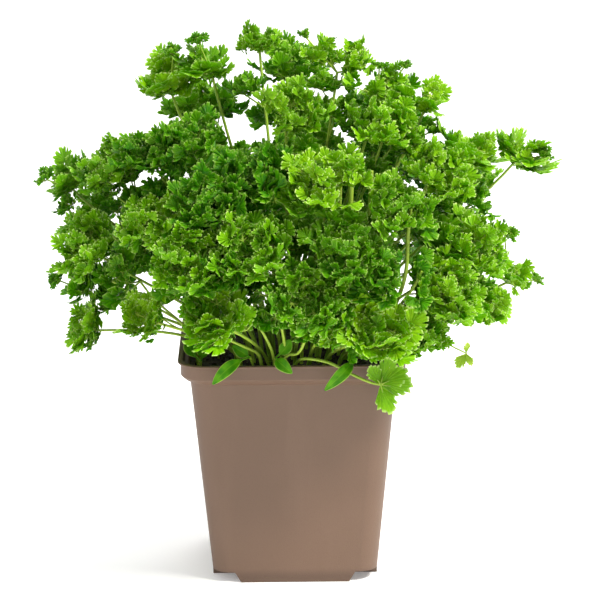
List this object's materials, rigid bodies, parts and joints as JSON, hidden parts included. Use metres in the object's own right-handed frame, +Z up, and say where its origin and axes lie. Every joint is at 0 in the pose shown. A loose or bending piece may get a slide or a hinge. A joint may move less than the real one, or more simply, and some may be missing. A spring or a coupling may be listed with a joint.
{
  "type": "potted parsley",
  "caption": "Curly-leaved parsley bush growing from dark soil in a square tapered plastic nursery pot with a stepped rim band and a cross-shaped foot",
  "frame": {"origin": "the centre of the pot's flat foot, on the surface that the pot stands on", "axes": "+Z up; the front of the pot, where a leaf hangs over the rim on the right, faces -Y; +X to the right"},
  "size_m": [0.2933, 0.2586, 0.3167],
  "materials": {
    "pot_plastic": "satin taupe-brown moulded polypropylene with a fine grain",
    "compost": "dark, crumbly, slightly moist peat and bark compost",
    "parsley_green": "fresh curled leaf with a soft sheen, on smooth pale green stalks",
    "seed_leaf_green": "smooth young seed leaf with a soft sheen"
  },
  "bodies": {
    "root": {"pot": "pot_plastic", "soil": "compost", "frond_01": "parsley_green", "frond_02": "parsley_green", "frond_03": "parsley_green", "frond_04": "parsley_green", "frond_05": "parsley_green", "frond_06": "parsley_green", "frond_07": "parsley_green", "frond_08": "parsley_green", "frond_09": "parsley_green", "frond_10": "parsley_green", "frond_11": "parsley_green", "frond_12": "parsley_green", "frond_13": "parsley_green", "frond_14": "parsley_green", "frond_15": "parsley_green", "frond_16": "parsley_green", "frond_17": "parsley_green", "frond_18": "parsley_green", "frond_19": "parsley_green", "frond_20": "parsley_green", "frond_21": "parsley_green", "frond_22": "parsley_green", "frond_23": "parsley_green", "frond_24": "parsley_green", "frond_25": "parsley_green", "frond_26": "parsley_green", "frond_27": "parsley_green", "frond_28": "parsley_green", "frond_29": "parsley_green", "frond_30": "parsley_green", "frond_31": "parsley_green", "frond_32": "parsley_green", "frond_33": "parsley_green", "frond_34": "parsley_green", "frond_35": "parsley_green", "frond_36": "parsley_green", "frond_37": "parsley_green", "frond_38": "parsley_green", "frond_39": "parsley_green", "frond_40": "parsley_green", "frond_41": "parsley_green", "frond_42": "parsley_green", "frond_43": "parsley_green", "frond_44": "parsley_green", "frond_45": "parsley_green", "frond_46": "parsley_green", "frond_47": "parsley_green", "frond_48": "parsley_green", "frond_49": "parsley_green", "hanging_leaf": "parsley_green", "trailing_shoot": "parsley_green", "seedling_1": "seed_leaf_green", "seedling_2": "seed_leaf_green", "seedling_3": "seed_leaf_green", "seedling_4": "seed_leaf_green"}
  },
  "joints": []
}
